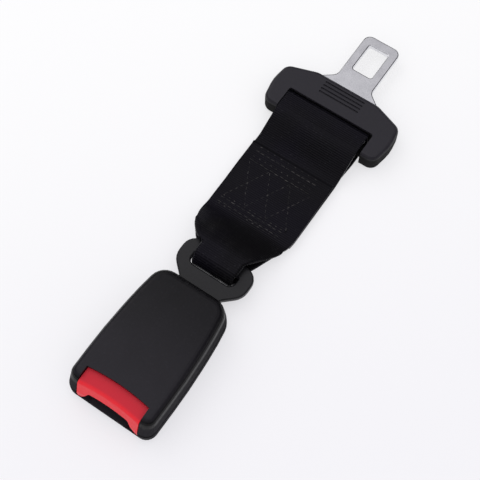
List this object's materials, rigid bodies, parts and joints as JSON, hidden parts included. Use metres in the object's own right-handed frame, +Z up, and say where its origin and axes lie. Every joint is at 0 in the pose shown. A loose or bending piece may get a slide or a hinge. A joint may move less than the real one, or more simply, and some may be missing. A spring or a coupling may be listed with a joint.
{
  "type": "seat belt extender",
  "caption": "Short sewn length of belt webbing with a steel tongue in a moulded grip at one end and a push-button buckle on a coated anchor plate at the other",
  "frame": {"origin": "under the middle of the whole belt, on the surface it lies on", "axes": "+Y from the buckle to the tongue's tip, +X across the belt, +Z up from the surface"},
  "size_m": [0.0694, 0.238, 0.0184],
  "materials": {
    "tongue_steel": "bright zinc plating, slightly satin",
    "grip_plastic": "fine-grained black moulding",
    "webbing": "ribbed black polyester webbing",
    "coated_steel": "satin black coating on steel",
    "frame_steel": "dull plated pressed steel",
    "casing_plastic": "fine-grained black moulding",
    "button_plastic": "satin red moulding",
    "spring_steel": "drawn spring wire",
    "slider_plastic": "natural moulded plastic"
  },
  "bodies": {
    "strap": {"webbing": "webbing"},
    "tongue": {"tongue_plate": "tongue_steel", "tongue_grip": "grip_plastic"},
    "buckle": {"anchor_plate": "coated_steel", "rivet_left": "frame_steel", "rivet_right": "frame_steel", "buckle_frame": "frame_steel", "upper_cover": "casing_plastic", "lower_cover": "casing_plastic", "latch_pivot_pin": "frame_steel", "button_spring_left": "spring_steel", "button_spring_right": "spring_steel", "ejector_spring": "spring_steel"},
    "button": {"press_button": "button_plastic", "lock_pin": "frame_steel"},
    "latch": {"latch_plate": "frame_steel"},
    "ejector": {"ejector": "slider_plastic"}
  },
  "joints": [
    {"name": "tongue_swing", "type": "hinge", "parent": "strap", "child": "tongue", "pos_m": [0, 0.05895, 0.00525], "axis": [1, 0, 0], "range_deg": [-110, 110]},
    {"name": "buckle_swing", "type": "hinge", "parent": "strap", "child": "buckle", "pos_m": [0, -0.02915, 0.0064], "axis": [-1, 0, 0], "range_deg": [-90, 90]},
    {"name": "button_press", "type": "slide", "parent": "buckle", "child": "button", "axis": [0, 1, 0], "range_m": [0, 0.005], "stiffness_N_per_m": 600, "springref_m": -0.003, "deforming": ["button_spring_left", "button_spring_right"]},
    {"name": "latch_lift", "type": "hinge", "parent": "buckle", "child": "latch", "pos_m": [0, -0.06695, 0.0113], "axis": [-1, 0, 0], "range_deg": [0, 8.6]},
    {"name": "ejector_slide", "type": "slide", "parent": "buckle", "child": "ejector", "axis": [0, 1, 0], "range_m": [0, 0.01], "stiffness_N_per_m": 500, "springref_m": -0.004, "deforming": ["ejector_spring"]}
  ],
  "couplings": [
    {"joint": "latch_lift", "follows": "button_press", "rad_per_m": 30}
  ]
}
